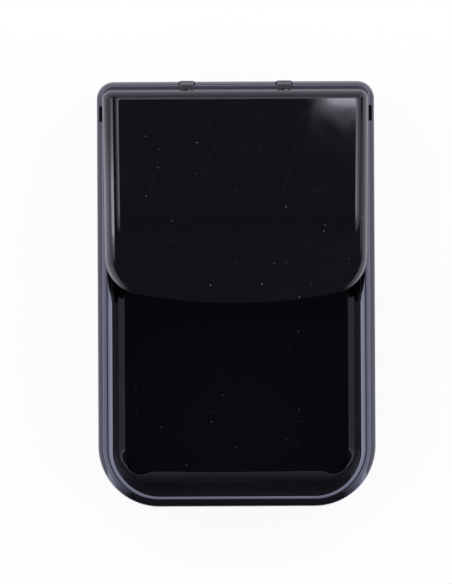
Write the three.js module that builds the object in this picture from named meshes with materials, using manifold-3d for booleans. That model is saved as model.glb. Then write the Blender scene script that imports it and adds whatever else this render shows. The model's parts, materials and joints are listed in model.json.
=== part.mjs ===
/**
 * Clip dispenser: a desk box with an open scoop well in front and a flip lid over the store behind it.
 *
 * Millimetres. +X is to the right, +Y is to the rear, where the lid is hinged, and +Z is up.
 * The origin is on the table, under the middle of the body.
 */
import * as THREE from 'three';
import { mergeVertices } from 'three/addons/utils/BufferGeometryUtils.js';
import Module from 'manifold-3d';

// Body: the rounded tub with its rim, seen from above as a rectangle with two large and two small corners
const rimLength = 107;
const rimWidth = 70;
const rimHeight = 24;
const frontCornerRadius = 15.4;
const rearCornerRadius = 4.3;
const wall = 1.4;
const skirtFlare = 0.6;
const rimOuterReach = 2.7;
const rimOuterFrontReach = 2.05;
const rimOuterDrop = 2.2;
const rimInnerReach = 1.5;
const rimInnerFrontReach = 0.8;
const rimInnerDrop = 1;

// Well: the hollow that holds the clips, with drafted walls, a steep facet low on three sides and a scoop in front
const wellSideDraft = 1.05;
const wellFrontDraft = 3.15;
const facetRun = 1.65;
const facetHeight = 2.85;
const scoopRun = 2.65;
const scoopHeight = 5;
const scoopFlatShare = 0.4;
const wellLowCornerRadius = 5.5;
const wellLowCornerHeight = 1.5;
const wellRearRadius = 2;
const hollowDropBelowRim = 6.5;

// Pockets: short open slots in the rim beside the rear corners of the lid
const pocketLength = 3.9;
const pocketWidth = 1.2;
const pocketDepth = 3.2;
const pocketOuterInset = 0.6;
const pocketRearInset = 6.2;

// Lid: a recessed panel with a low round bead on three sides and a bowed front edge
const lidInset = 1.85;
const lidFrontY = -2.3;
const lidBowRadius = 128;
const lidCornerRadius = 9.5;
const lidThickness = 1.2;
const lidUndersideChamfer = 0.25;
const beadHeight = 0.45;
const beadEdgeRadius = 0.68;
const beadTopRadius = 2.5;
const beadWidth = 2.4;
const beadFrontWidth = 2.1;
const beadSlopeReach = 0.35;
const beadPanelRadius = 0.8;
const beadTaperEndX = 23.5;
const lipDepth = 1.4;
const lipWidth = 1.2;
const lipRearMargin = 5.6;
const lipFrontMargin = 2.5;

// Hinge: two knuckles of the lid stand in notches of the rear rim and turn on short moulded stubs
const hingeSpacing = 24.5;
const knuckleWidth = 3.6;
const knuckleRadius = 1.9;
const knuckleProud = 0.3;
const knuckleDropBelowRim = 0.3;
const webThickness = 1.3;
const stubRadius = 0.65;
const stubLength = 1.2;

// Base: a plate that closes the underside, with its screws, its rubber feet and the clip magnet above it
const baseClearance = 1;
const plateThickness = 2.4;
const footRadius = 4.5;
const footHeight = 1.5;
const footChamfer = 0.4;
const footInsetX = 9.5;
const footInsetY = 11;
const screwInsetX = 11;
const screwInsetY = 26;
const screwHeadRadius = 1.9;
const screwHeadHeight = 1.1;
const screwHeadRecess = 0.1;
const screwShankRadius = 1;
const screwBite = 0.5;
const screwDriveWidth = 0.6;
const screwDriveLength = 2.4;
const screwDriveDepth = 0.6;
const bossWall = 1.3;
const magnetLength = 36;
const magnetWidth = 10;
const magnetThickness = 2.1;
const magnetFrontInset = 18;
const magnetFrameWall = 1.2;

// Fits: the air between two pieces that touch, and how far a cut reaches past the face that it opens
const gap = 0.3;
const overcut = 1;

// Steps along round stretches
const frontCornerSteps = 12;
const rearCornerSteps = 6;
const roundingSteps = 5;
const bowSteps = 24;
const turnedSides = 24;

// Heights and places worked out from the sizes above
const quarterTurn = Math.PI / 2;
const wellEdgeInset = rimOuterReach + rimInnerReach;
const wellEdgeFrontInset = rimOuterFrontReach + rimInnerFrontReach;
const outerRoundZ = rimHeight - rimOuterDrop;
const innerRoundZ = rimHeight - rimInnerDrop;
const hollowTopZ = rimHeight - hollowDropBelowRim;
const plateTopZ = baseClearance + plateThickness;
const mountTopZ = plateTopZ + gap;
const floorUnderZ = mountTopZ + magnetThickness + gap;
const floorZ = floorUnderZ + wall;
const facetTopZ = floorZ + facetHeight;
const scoopTopZ = floorZ + scoopHeight;
const lidHalfWidth = rimWidth / 2 - lidInset;
const lidRearY = rimLength / 2 - lidInset;
const lidUnderZ = rimHeight + gap;
const panelZ = lidUnderZ + lidThickness;
const beadTopZ = panelZ + beadHeight;
const beadTurn = quarterTurn / 2;
const beadFlankZ = beadTopZ - beadTopRadius * (1 - Math.cos(beadTurn)) - beadEdgeRadius * Math.cos(beadTurn);
const hingeY = rimLength / 2 + knuckleProud - knuckleRadius;
const hingeZ = rimHeight - knuckleDropBelowRim - knuckleRadius;
const counterboreTopZ = baseClearance + screwHeadRecess + screwHeadHeight + gap;
const screwTipZ = floorUnderZ + screwBite;

const wasm = await Module();
wasm.setup();

/** Turns a closed geometry into a solid that can be joined and cut. */
function toSolid(geometry) {
  const bare = geometry.clone();
  bare.deleteAttribute('normal');
  bare.deleteAttribute('uv');
  const merged = mergeVertices(bare, 1e-4);
  return new wasm.Manifold(new wasm.Mesh({
    numProp: 3,
    vertProperties: new Float32Array(merged.attributes.position.array),
    triVerts: new Uint32Array(merged.index.array),
  }));
}

/** Turns a solid back into a geometry. */
function toGeometry(solid) {
  const mesh = solid.getMesh();
  const geometry = new THREE.BufferGeometry();
  geometry.setAttribute('position', new THREE.BufferAttribute(mesh.vertProperties, 3));
  geometry.setIndex(new THREE.BufferAttribute(mesh.triVerts, 1));
  geometry.computeVertexNormals();
  return geometry;
}

/** Joins the first geometry with others and cuts more away, and returns one geometry. */
function joinAndCut(first, joined, cut) {
  let solid = toSolid(first);
  for (const geometry of joined) {
    solid = solid.add(toSolid(geometry));
  }
  for (const geometry of cut) {
    solid = solid.subtract(toSolid(geometry));
  }
  return toGeometry(solid);
}

/** A closed skin through outlines with as many points each, given from the lowest to the highest. */
function loft(rings) {
  const count = rings[0].length;
  const positions = rings.flat().flatMap((point) => [point.x, point.y, point.z]);
  const index = [];
  for (let level = 0; level < rings.length - 1; level += 1) {
    for (let i = 0; i < count; i += 1) {
      const next = (i + 1) % count;
      const lower = level * count;
      const upper = lower + count;
      index.push(lower + i, lower + next, upper + next);
      index.push(lower + i, upper + next, upper + i);
    }
  }
  const cap = (ring) => THREE.ShapeUtils.triangulateShape(ring.map((p) => new THREE.Vector2(p.x, p.y)), []);
  const top = (rings.length - 1) * count;
  for (const [a, b, c] of cap(rings.at(-1))) {
    index.push(top + a, top + b, top + c);
  }
  for (const [a, b, c] of cap(rings[0])) {
    index.push(c, b, a);
  }
  const geometry = new THREE.BufferGeometry();
  geometry.setAttribute('position', new THREE.Float32BufferAttribute(positions, 3));
  geometry.setIndex(index);
  return geometry;
}

/** Points on an arc at one height, from one angle to another. */
function arc(centreX, centreY, radius, from, to, steps, z) {
  const points = [];
  for (let i = 0; i <= steps; i += 1) {
    const angle = THREE.MathUtils.lerp(from, to, i / steps);
    points.push(new THREE.Vector3(centreX + radius * Math.cos(angle), centreY + radius * Math.sin(angle), z));
  }
  return points;
}

/** A rectangle with rounded corners at one height, anticlockwise from above. */
function roundedOutline({ halfWidth, front, rear, frontRadius, rearRadius }, z) {
  const rearX = halfWidth - rearRadius;
  const frontX = halfWidth - frontRadius;
  const rearY = rear - rearRadius;
  const frontY = front + frontRadius;
  return [
    ...arc(rearX, rearY, rearRadius, 0, quarterTurn, rearCornerSteps, z),
    ...arc(-rearX, rearY, rearRadius, quarterTurn, 2 * quarterTurn, rearCornerSteps, z),
    ...arc(-frontX, frontY, frontRadius, 2 * quarterTurn, 3 * quarterTurn, frontCornerSteps, z),
    ...arc(frontX, frontY, frontRadius, 3 * quarterTurn, 4 * quarterTurn, frontCornerSteps, z),
  ];
}

/** The rim's silhouette moved inwards at one height, in front by an inset of its own where one is given. */
function bodyOutline(inset, z, frontInset = inset) {
  return roundedOutline({
    halfWidth: rimWidth / 2 - inset,
    front: -rimLength / 2 + frontInset,
    rear: rimLength / 2 - inset,
    frontRadius: frontCornerRadius - inset,
    rearRadius: rearCornerRadius - inset,
  }, z);
}

/** How far the drafted outer wall lies inside the rim's silhouette at a height: less than nothing low down. */
function skirtInset(z) {
  return -skirtFlare * (outerRoundZ - z) / (outerRoundZ - baseClearance);
}

/** The body's outer form: the drafted wall and the outer half of the round rim. */
function outerForm() {
  const rings = [bodyOutline(skirtInset(baseClearance), baseClearance)];
  for (let i = 0; i <= roundingSteps; i += 1) {
    const angle = quarterTurn * i / roundingSteps;
    const run = 1 - Math.cos(angle);
    const z = outerRoundZ + rimOuterDrop * Math.sin(angle);
    rings.push(bodyOutline(rimOuterReach * run, z, rimOuterFrontReach * run));
  }
  return loft(rings);
}

/** How far along a stretch a height is, from 0 at its start to 1 at its end. */
function shareOf(z, from, to) {
  return THREE.MathUtils.clamp((z - from) / (to - from), 0, 1);
}

/** One outline of the well. Grown by a thickness it is the outside of the tub, which ends that much lower. */
function wellOutline(z, thickness) {
  const { lerp } = THREE.MathUtils;
  const wallSide = wellEdgeInset + wellSideDraft * shareOf(z, innerRoundZ, facetTopZ);
  const side = wallSide + facetRun * shareOf(z, facetTopZ, floorZ) - thickness;
  const wallFront = wellEdgeFrontInset + wellFrontDraft * shareOf(z, innerRoundZ, scoopTopZ);
  const fall = shareOf(z, scoopTopZ, floorZ);
  const scoop = scoopRun * lerp(fall, fall ** 2, scoopFlatShare);
  const cornerShare = shareOf(z, floorZ + wellLowCornerHeight, innerRoundZ);
  const stretch = shareOf(z, innerRoundZ, floorZ);
  return roundedOutline({
    halfWidth: rimWidth / 2 - side,
    front: -rimLength / 2 + wallFront + scoop - thickness,
    rear: rimLength / 2 - side,
    frontRadius: lerp(wellLowCornerRadius, frontCornerRadius - wellEdgeInset, cornerShare) + thickness,
    rearRadius: wellRearRadius + thickness,
  }, z - thickness * stretch);
}

/** The well's outlines from its floor up to the rim. */
function wellRings(thickness) {
  const heights = [floorZ + wellLowCornerHeight, facetTopZ, innerRoundZ];
  for (let i = 0; i <= roundingSteps; i += 1) {
    heights.push(THREE.MathUtils.lerp(floorZ, scoopTopZ, i / roundingSteps));
  }
  heights.sort((a, b) => a - b);
  return heights.map((z) => wellOutline(z, thickness));
}

/** What the well takes out of the outer form, with the inner half of the round rim on top. */
function wellCut() {
  const rings = wellRings(0);
  for (let i = roundingSteps - 1; i >= 0; i -= 1) {
    const angle = quarterTurn * i / roundingSteps;
    const run = Math.sin(angle);
    const inset = rimOuterReach + rimInnerReach * run;
    rings.push(roundedOutline({
      halfWidth: rimWidth / 2 - inset,
      front: -rimLength / 2 + rimOuterFrontReach + rimInnerFrontReach * run,
      rear: rimLength / 2 - inset,
      frontRadius: frontCornerRadius - inset,
      rearRadius: THREE.MathUtils.lerp(rearCornerRadius - rimOuterReach, wellRearRadius, run),
    }, rimHeight - rimInnerDrop * (1 - Math.cos(angle))));
  }
  rings.push(bodyOutline(rimOuterReach, rimHeight + overcut, rimOuterFrontReach));
  return loft(rings);
}

/** The hollow beneath the tub, between its outside and the outer wall. */
function hollowCut() {
  const low = baseClearance - overcut;
  const space = loft([
    bodyOutline(skirtInset(low) + wall, low),
    bodyOutline(skirtInset(hollowTopZ) + wall, hollowTopZ),
  ]);
  return joinAndCut(space, [], [loft(wellRings(wall))]);
}

/** A box given by its middle across the object and its lowest and highest corner in Y and Z. */
function box(centreX, width, fromY, toY, fromZ, toZ) {
  const geometry = new THREE.BoxGeometry(width, toY - fromY, toZ - fromZ);
  return geometry.translate(centreX, (fromY + toY) / 2, (fromZ + toZ) / 2);
}

/** An upright round bar. */
function post(x, y, radius, fromZ, toZ) {
  const geometry = new THREE.CylinderGeometry(radius, radius, toZ - fromZ, turnedSides);
  return geometry.rotateX(quarterTurn).translate(x, y, (fromZ + toZ) / 2);
}

/** A round bar along the hinge axis, about the middle of one knuckle. */
function axle(centreX, radius, length) {
  const geometry = new THREE.CylinderGeometry(radius, radius, length, turnedSides);
  return geometry.rotateZ(quarterTurn).translate(centreX, hingeY, hingeZ);
}

/** A turned piece from its half profile of radii and heights, closed on the axis. */
function turned(profile) {
  const points = profile.map(([radius, z]) => new THREE.Vector2(radius, z));
  return new THREE.LatheGeometry(points, turnedSides).rotateX(quarterTurn);
}

/** Where something repeated at the four corners stands, at one inset from the sides and one from the ends. */
function cornerPlaces(insetX, insetY) {
  const places = [];
  for (const [end, ySign] of [['front', -1], ['rear', 1]]) {
    for (const [side, xSign] of [['left', -1], ['right', 1]]) {
      places.push({
        name: `${end}_${side}`,
        x: xSign * (rimWidth / 2 - insetX),
        y: ySign * (rimLength / 2 - insetY),
      });
    }
  }
  return places;
}

const hingeCentres = [-hingeSpacing / 2, hingeSpacing / 2];
const footPlaces = cornerPlaces(footInsetX, footInsetY);
const screwPlaces = cornerPlaces(screwInsetX, screwInsetY);
const magnetY = -rimLength / 2 + magnetFrontInset + magnetWidth / 2;

/** The pocket beside one rear corner of the lid. */
function pocketCut(sign) {
  const centreX = sign * (rimWidth / 2 - pocketOuterInset - pocketWidth / 2);
  const rear = rimLength / 2 - pocketRearInset;
  return box(centreX, pocketWidth, rear - pocketLength, rear, rimHeight - pocketDepth, rimHeight + overcut);
}

/** The notch in the rear rim for one knuckle, open to the rear and to the well, with the sockets of its stubs. */
function notchCuts(centreX) {
  const inner = rimLength / 2 - wellEdgeInset - wellSideDraft / 2;
  const outer = rimLength / 2 + overcut;
  const bottom = hingeZ - knuckleRadius - gap;
  return [
    box(centreX, knuckleWidth + 2 * gap, inner, outer, bottom, rimHeight + overcut),
    axle(centreX, stubRadius + gap, knuckleWidth + 2 * (stubLength + gap)),
  ];
}

/** The rib under the floor that goes round the magnet. */
function magnetFrame() {
  const outerLength = magnetLength + 2 * (gap + magnetFrameWall);
  const outerHalf = magnetWidth / 2 + gap + magnetFrameWall;
  const innerHalf = magnetWidth / 2 + gap;
  const outer = box(0, outerLength, magnetY - outerHalf, magnetY + outerHalf, mountTopZ, floorUnderZ + gap);
  const inner = box(
    0,
    magnetLength + 2 * gap,
    magnetY - innerHalf,
    magnetY + innerHalf,
    mountTopZ - overcut,
    floorUnderZ,
  );
  return joinAndCut(outer, [], [inner]);
}

function makeBodyShell() {
  const shellOnly = joinAndCut(outerForm(), [], [wellCut(), hollowCut()]);
  const bossRadius = screwShankRadius + gap + bossWall;
  const bosses = screwPlaces.map(({ x, y }) => post(x, y, bossRadius, mountTopZ, floorUnderZ + gap));
  const bores = screwPlaces.map(({ x, y }) => post(
    x,
    y,
    screwShankRadius + gap,
    mountTopZ - overcut,
    screwTipZ + gap,
  ));
  return joinAndCut(shellOnly, [...bosses, magnetFrame()], [
    ...bores,
    pocketCut(-1),
    pocketCut(1),
    ...hingeCentres.flatMap(notchCuts),
  ]);
}

/** The lid's outline moved inwards by an inset: straight sides and rear, round corners and a bowed front. */
function lidOutline(inset, z) {
  const halfWidth = lidHalfWidth - inset;
  const rear = lidRearY - inset;
  const rearRadius = Math.max(rearCornerRadius - lidInset - inset, gap);
  const cornerRadius = lidCornerRadius - inset;
  const bowRadius = lidBowRadius - inset;
  const bowCentreY = lidFrontY + lidBowRadius;
  const cornerX = halfWidth - cornerRadius;
  const cornerY = bowCentreY - Math.sqrt((bowRadius - cornerRadius) ** 2 - cornerX ** 2);
  const halfBow = Math.asin(cornerX / (bowRadius - cornerRadius));
  const rearX = halfWidth - rearRadius;
  const rearY = rear - rearRadius;
  const down = 3 * quarterTurn;
  return [
    ...arc(rearX, rearY, rearRadius, 0, quarterTurn, rearCornerSteps, z),
    ...arc(-rearX, rearY, rearRadius, quarterTurn, 2 * quarterTurn, rearCornerSteps, z),
    ...arc(-cornerX, cornerY, cornerRadius, 2 * quarterTurn, down - halfBow, frontCornerSteps, z),
    ...arc(0, bowCentreY, bowRadius, down - halfBow, down + halfBow, bowSteps, z).slice(1, -1),
    ...arc(cornerX, cornerY, cornerRadius, down + halfBow, 4 * quarterTurn, frontCornerSteps, z),
  ];
}

/** Where the lid's straight side ends and its front corner begins. */
function lidCornerStartY() {
  const cornerX = lidHalfWidth - lidCornerRadius;
  return lidFrontY + lidBowRadius - Math.sqrt((lidBowRadius - lidCornerRadius) ** 2 - cornerX ** 2);
}

/** The lid's flat plate, with a small chamfer below and a round edge above. */
function lidPlate() {
  const rings = [
    lidOutline(lidUndersideChamfer, lidUnderZ),
    lidOutline(0, lidUnderZ + lidUndersideChamfer),
  ];
  const radius = panelZ - beadFlankZ;
  for (let i = 0; i <= roundingSteps; i += 1) {
    const angle = quarterTurn * i / roundingSteps;
    rings.push(lidOutline(radius * (1 - Math.cos(angle)), panelZ - radius * (1 - Math.sin(angle))));
  }
  return loft(rings);
}

/** The block that the bead is left standing from: a tight curve at its edge and a wide one over its top. */
function beadBlock() {
  const edgeReach = beadEdgeRadius * (1 - Math.sin(beadTurn));
  const rings = [lidOutline(0, beadFlankZ)];
  for (let i = 1; i <= roundingSteps; i += 1) {
    const slope = THREE.MathUtils.lerp(quarterTurn, beadTurn, i / roundingSteps);
    rings.push(lidOutline(beadEdgeRadius * (1 - Math.sin(slope)), beadFlankZ + beadEdgeRadius * Math.cos(slope)));
  }
  for (let i = 1; i <= roundingSteps; i += 1) {
    const slope = THREE.MathUtils.lerp(beadTurn, 0, i / roundingSteps);
    const inset = edgeReach + beadTopRadius * (Math.sin(beadTurn) - Math.sin(slope));
    rings.push(lidOutline(inset, beadTopZ - beadTopRadius * (1 - Math.cos(slope))));
  }
  return loft(rings);
}

/**
 * The foot line of the bead on the panel, grown outwards: the sides close in on the lid's edge towards the front,
 * and run out over it at the front corners, where the bead ends in a point.
 */
function panelOutline(grow, z) {
  const rear = lidRearY - beadWidth + grow;
  const rearX = lidHalfWidth - beadWidth + grow;
  const sideX = lidHalfWidth - beadFrontWidth + grow;
  const sideY = lidCornerStartY();
  const endX = beadTaperEndX;
  const endY = lidFrontY - grow;
  const rearSide = quarterTurn * 0.98;
  const right = arc(rearX - beadPanelRadius, rear - beadPanelRadius, beadPanelRadius, 0, rearSide, rearCornerSteps, z);
  const corner = new THREE.QuadraticBezierCurve3(
    new THREE.Vector3(endX, endY, z),
    new THREE.Vector3(sideX, lidFrontY, z),
    new THREE.Vector3(sideX, sideY, z),
  );
  const rightFront = corner.getPoints(frontCornerSteps);
  const mirrored = (points) => points.map((p) => new THREE.Vector3(-p.x, p.y, p.z)).reverse();
  return [...right, ...mirrored(right), ...mirrored(rightFront), ...rightFront];
}

/** One hinge knuckle: the barrel, its web up to the lid and its two stubs. */
function knuckle(centreX) {
  return [
    axle(centreX, knuckleRadius, knuckleWidth),
    box(centreX, knuckleWidth, hingeY - webThickness, hingeY, hingeZ, lidUnderZ + lidThickness / 2),
    axle(centreX, stubRadius, knuckleWidth + 2 * stubLength),
  ];
}

/** The lip under one side of the lid, which keeps it in line with the well. */
function lip(sign) {
  const outerX = rimWidth / 2 - wellEdgeInset - 2 * gap;
  const centreX = sign * (outerX - lipWidth / 2);
  const fromY = lidCornerStartY() + lipFrontMargin;
  return box(centreX, lipWidth, fromY, lidRearY - lipRearMargin, lidUnderZ - lipDepth, lidUnderZ + gap);
}

function makeLid() {
  const past = beadHeight + overcut;
  const slope = beadSlopeReach * past / beadHeight;
  const recess = loft([panelOutline(0, panelZ), panelOutline(slope, panelZ + past)]);
  const bead = joinAndCut(beadBlock(), [], [recess]);
  return joinAndCut(lidPlate(), [bead, lip(-1), lip(1), ...hingeCentres.flatMap(knuckle)], []);
}

function makeBasePlate() {
  const plate = loft([
    bodyOutline(skirtInset(baseClearance) + wall + gap, baseClearance),
    bodyOutline(skirtInset(plateTopZ) + wall + gap, plateTopZ),
  ]);
  const below = baseClearance - overcut;
  const footTop = footHeight + gap;
  const recesses = footPlaces.map(({ x, y }) => post(x, y, footRadius + gap, below, footTop));
  const counterbores = screwPlaces.map(({ x, y }) => post(x, y, screwHeadRadius + gap, below, counterboreTopZ));
  const holes = screwPlaces.map(({ x, y }) => post(x, y, screwShankRadius + gap, below, plateTopZ + overcut));
  return joinAndCut(plate, [], [...recesses, ...counterbores, ...holes]);
}

function makeMagnet() {
  return box(
    0,
    magnetLength,
    magnetY - magnetWidth / 2,
    magnetY + magnetWidth / 2,
    mountTopZ,
    mountTopZ + magnetThickness,
  );
}

function makeFoot() {
  return turned([
    [0, 0],
    [footRadius - footChamfer, 0],
    [footRadius, footChamfer],
    [footRadius, footHeight],
    [0, footHeight],
  ]);
}

/** A pan-head screw standing on its head, with a cross drive cut into the head's underside. */
function makeScrew() {
  const headBottom = baseClearance + screwHeadRecess;
  const headTop = headBottom + screwHeadHeight;
  const rounding = screwHeadHeight / 3;
  const body = turned([
    [0, headBottom],
    [screwHeadRadius - rounding, headBottom],
    [screwHeadRadius, headBottom + rounding],
    [screwHeadRadius, headTop],
    [screwShankRadius, headTop],
    [screwShankRadius, screwTipZ - screwShankRadius / 2],
    [screwShankRadius / 2, screwTipZ],
    [0, screwTipZ],
  ]);
  const driveTop = headBottom + screwDriveDepth;
  const slot = box(0, screwDriveLength, -screwDriveWidth / 2, screwDriveWidth / 2, headBottom - overcut, driveTop);
  const crossSlot = slot.clone().rotateZ(quarterTurn);
  return joinAndCut(body, [], [slot, crossSlot]);
}

// Finishes
const glossBlack = new THREE.MeshStandardMaterial({ color: '#0d0d10', roughness: 0.12, metalness: 0 });
const matteBlack = new THREE.MeshStandardMaterial({ color: '#17171a', roughness: 0.6, metalness: 0 });
const blackRubber = new THREE.MeshStandardMaterial({ color: '#1d1d1e', roughness: 0.85, metalness: 0 });
const ferrite = new THREE.MeshStandardMaterial({ color: '#2e2d2d', roughness: 0.7, metalness: 0.2 });
const zincSteel = new THREE.MeshStandardMaterial({ color: '#b4b7bb', roughness: 0.35, metalness: 1 });

/** A named piece of the object. */
function piece(name, geometry, material) {
  const mesh = new THREE.Mesh(geometry, material);
  mesh.name = name;
  return mesh;
}

const dispenser = new THREE.Group();
dispenser.add(piece('body_shell', makeBodyShell(), glossBlack));
dispenser.add(piece('lid', makeLid(), glossBlack));
dispenser.add(piece('base_plate', makeBasePlate(), matteBlack));
dispenser.add(piece('clip_magnet', makeMagnet(), ferrite));
for (const { name, x, y } of footPlaces) {
  const foot = piece(`foot_${name}`, makeFoot(), blackRubber);
  foot.position.set(x, y, 0);
  dispenser.add(foot);
}
for (const { name, x, y } of screwPlaces) {
  const screw = piece(`base_screw_${name}`, makeScrew(), zincSteel);
  screw.position.set(x, y, 0);
  dispenser.add(screw);
}

export default dispenser;
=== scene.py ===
"""Clip dispenser: a gloss black moulded desk box with an open scoop well and a flip lid, seen from above."""
import json
import math

import bmesh
import bpy
from mathutils import Matrix, Vector


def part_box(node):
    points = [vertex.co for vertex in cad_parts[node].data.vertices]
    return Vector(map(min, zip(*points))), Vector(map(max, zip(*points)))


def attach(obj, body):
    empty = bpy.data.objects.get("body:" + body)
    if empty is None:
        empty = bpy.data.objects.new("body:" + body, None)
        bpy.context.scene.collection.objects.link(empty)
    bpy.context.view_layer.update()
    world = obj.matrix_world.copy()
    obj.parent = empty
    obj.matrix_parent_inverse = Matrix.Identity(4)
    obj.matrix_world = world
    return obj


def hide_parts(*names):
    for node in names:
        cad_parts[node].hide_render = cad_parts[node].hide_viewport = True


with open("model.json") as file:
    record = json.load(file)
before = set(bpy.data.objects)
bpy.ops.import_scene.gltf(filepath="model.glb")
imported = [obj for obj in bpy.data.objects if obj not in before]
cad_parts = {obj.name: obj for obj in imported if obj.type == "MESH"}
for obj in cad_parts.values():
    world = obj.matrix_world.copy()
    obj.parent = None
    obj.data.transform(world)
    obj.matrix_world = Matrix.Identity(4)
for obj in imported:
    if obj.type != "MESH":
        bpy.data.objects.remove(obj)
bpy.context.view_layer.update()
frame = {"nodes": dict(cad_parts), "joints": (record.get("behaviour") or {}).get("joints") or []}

MM = 0.001
QUARTER = math.pi / 2
HAIR = 0.01

# Frame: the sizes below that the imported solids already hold, in millimetres
BODY_LOW, BODY_HIGH = (corner / MM for corner in map(Vector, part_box("body_shell")))
LID_LOW, LID_HIGH = (corner / MM for corner in map(Vector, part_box("lid")))
HINGE = Vector(frame["joints"][0]["pos_m"]) / MM

# Body: the drafted box and its rim, as insets from the rim's silhouette
RIM_FLARE = 0.6
SKIRT_FLARE = 0.5
RIM_SIDE_TRIM = 0.05
RIM_END_GROWTH = 0.1
RIM_HALF_WIDTH = BODY_HIGH.x - RIM_FLARE - RIM_SIDE_TRIM
RIM_HALF_LENGTH = BODY_HIGH.y - RIM_FLARE + RIM_END_GROWTH
RIM_Z = BODY_HIGH.z
SKIRT_Z = BODY_LOW.z
WALL = 1.4
SKIRT_EDGE = 0.25
FRONT_RADIUS = 15.4
REAR_RADIUS = 4.3
CREST_SIDE = 2.45
CREST_FRONT = 1.95
LIP_SIDE = 1.4
LIP_FRONT = 0.8

# Rim: a ridge, as (share of the way, slope in degrees) from its edge to the crest and from there to the lip.
# In front its outer flank is one slope from FRONT_FLANK_START on. Behind it is raised up to REAR_FLANK_END
RIM_OUTSIDE = [(0, 84), (0.05, 70), (0.2, 58), (0.5, 50), (0.57, 33), (0.92, 28), (0.97, 3), (1, 0.5)]
FRONT_FLANK_SLOPE = math.radians(31)
FRONT_FLANK_START = 0.1
REAR_FLANK_RAISE = 0.5
REAR_FLANK_END = 0.5
RIM_INSIDE = [(0, 0.5), (0.04, 3), (0.12, 34), (0.9, 46), (0.96, 66), (1, 84)]

# Well: a drafted wall, a steep facet and a flat floor. Its front corners are tight up to WELL_LOW_RISE above
# the floor and widen from there to the rim
WELL_FLOOR_Z = 7.5
WALL_RUN_SIDE = 1.07
WALL_RUN_FRONT = 3.0
FACET_SLOPE = math.radians(57)
FACET_RUN_SIDE = 1.5
SCOOP_SLOPE_LOW = math.radians(58)
SCOOP_SLOPE_HIGH = math.radians(73)
SCOOP_RUN = 2.55
WELL_TOP_RADIUS = 11.2
WELL_LOW_RADIUS = 6.6
WELL_LOW_RISE = 1.5
WELL_REAR_RADIUS = 2.0
WELL_FLOOR_MARGIN = 0.4
TUB_FLOOR_RISE = 4
HOLLOW_DROP = 6.5
HOLLOW_TOP_Z = RIM_Z - HOLLOW_DROP

# Pockets in the rim beside the lid's rear corners
POCKET_LENGTH = 3.9
POCKET_WIDTH = 1.2
POCKET_DEPTH = 3.2
POCKET_OUTER_INSET = 0.6
POCKET_REAR_INSET = 6.2
POCKET_FALL = 0.25
CUT_PAST = 2

# Lid: a slab with rounded edges, a bead on three sides and a raised panel. The moulding isn't quite even: the
# bead is wider and higher on the left, where a moat lies beside it
LID_HALF_WIDTH = 33.15
LID_TAPER = 0.4
LID_PLAY = -0.02
LID_REAR_INSET = 2.1
LID_REAR_Y = RIM_HALF_LENGTH - LID_REAR_INSET
LID_FRONT_Y = LID_LOW.y
LID_AIR = 0.15
LID_UNDER_Z = RIM_Z + LID_AIR
PANEL_DROP = 0.34
PANEL_Z = LID_HIGH.z - PANEL_DROP
LID_REAR_RADIUS = 2.45
LID_LEAST_RADIUS = 0.5
LID_CORNER_RADIUS = 9.5
LID_BOW_RADIUS = 128.0
LID_UNDER_INSET = 0.7
LID_UNDER_EDGE = 0.1
EDGE_RADIUS = 0.45
BEAD_SLOPE = QUARTER / 2
BEAD_SLOPE_INSIDE = math.radians(9)
BEAD_RUN = Vector((1.86, 1.4, 1.5))
BEAD_CREST = Vector((0.34, -0.36, -0.3))

# The moat beside the bead, as insets and heights from the crest, and the panel's edge, as insets from it with
# the share of the panel's height. Three numbers are for the left, the right and the rear
MOAT_CUT = [
    (Vector((0.03, 0.1, 0.02)), Vector((-0.01, -0.005, 0.002))),
    (Vector((0.66, 0.35, 0.05)), Vector((-0.56, -0.07, 0.005))),
    (Vector((0.82, 0.41, 0.08)), Vector((-0.56, -0.08, 0.01))),
    (Vector((1.46, 0.45, 0.1)), Vector((-0.56, -0.08, 0.015))),
]
PANEL_EDGE = [
    (Vector((1.52, 0.8, 0.3)), 0.03),
    (Vector((1.68, 1.05, 0.5)), 0.2),
    (Vector((1.85, 1.32, 0.68)), 0.4),
    (Vector((2.1, 1.68, 0.84)), 1.0),
]
PANEL_MARGINS = (0.05, 0.3)

# Where the panel and the bead run out towards the plain front, and the stops on the straight sides for this
PANEL_END_Y = 15.0
PANEL_LONG_Y = 21.0
BEAD_END_Y = 5.5
BEAD_LONG_Y = 17.0
SIDE_STOPS = (36, 26, 23, 22, 21, 20, 19, 18, 17, 16, 15, 14, 13, 12.4)
FIRST_PANEL_STOP = 3
EDGE_END_Y = 7
EDGE_TAPER = 7.6

# The plain front: its height above the panel, its rounded edge and the insets of the lines up to the panel
FRONT_FALL_LEFT = -0.23
FRONT_FALL_RIGHT = -0.46
FRONT_EDGE_RADIUS = 0.3
FRONT_LINE_STEP = 0.12
FRONT_MOAT_INSET = 0.4
FRONT_PANEL_INSET = 0.95
FRONT_MARGIN_INSET = 1.5

# Lips under the lid's sides
LIP_DEPTH = 1.4
LIP_WIDTH = 1.2
LIP_OUTER_X = 30.5
LIP_FRONT_Y = 12.1
LIP_REAR_MARGIN = 5.6
LIP_ROOT = 0.3
LIP_EDGE = 0.2

# Hinge: two knuckles of the lid in notches of the rear rim
HINGE_HALF_SPACING = 12.25
KNUCKLE_WIDTH = 3.6
KNUCKLE_RADIUS = 1.9
KNUCKLE_EDGE = 0.15
NOTCH_MARGIN = 0.6
STUB_RADIUS = 0.65
STUB_LENGTH = 1.2
STUB_EDGE = 0.1
WEB_THICKNESS = 1.3
WEB_ROOT = 0.6
WEB_EDGE = 0.12
FIT = 0.3

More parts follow.
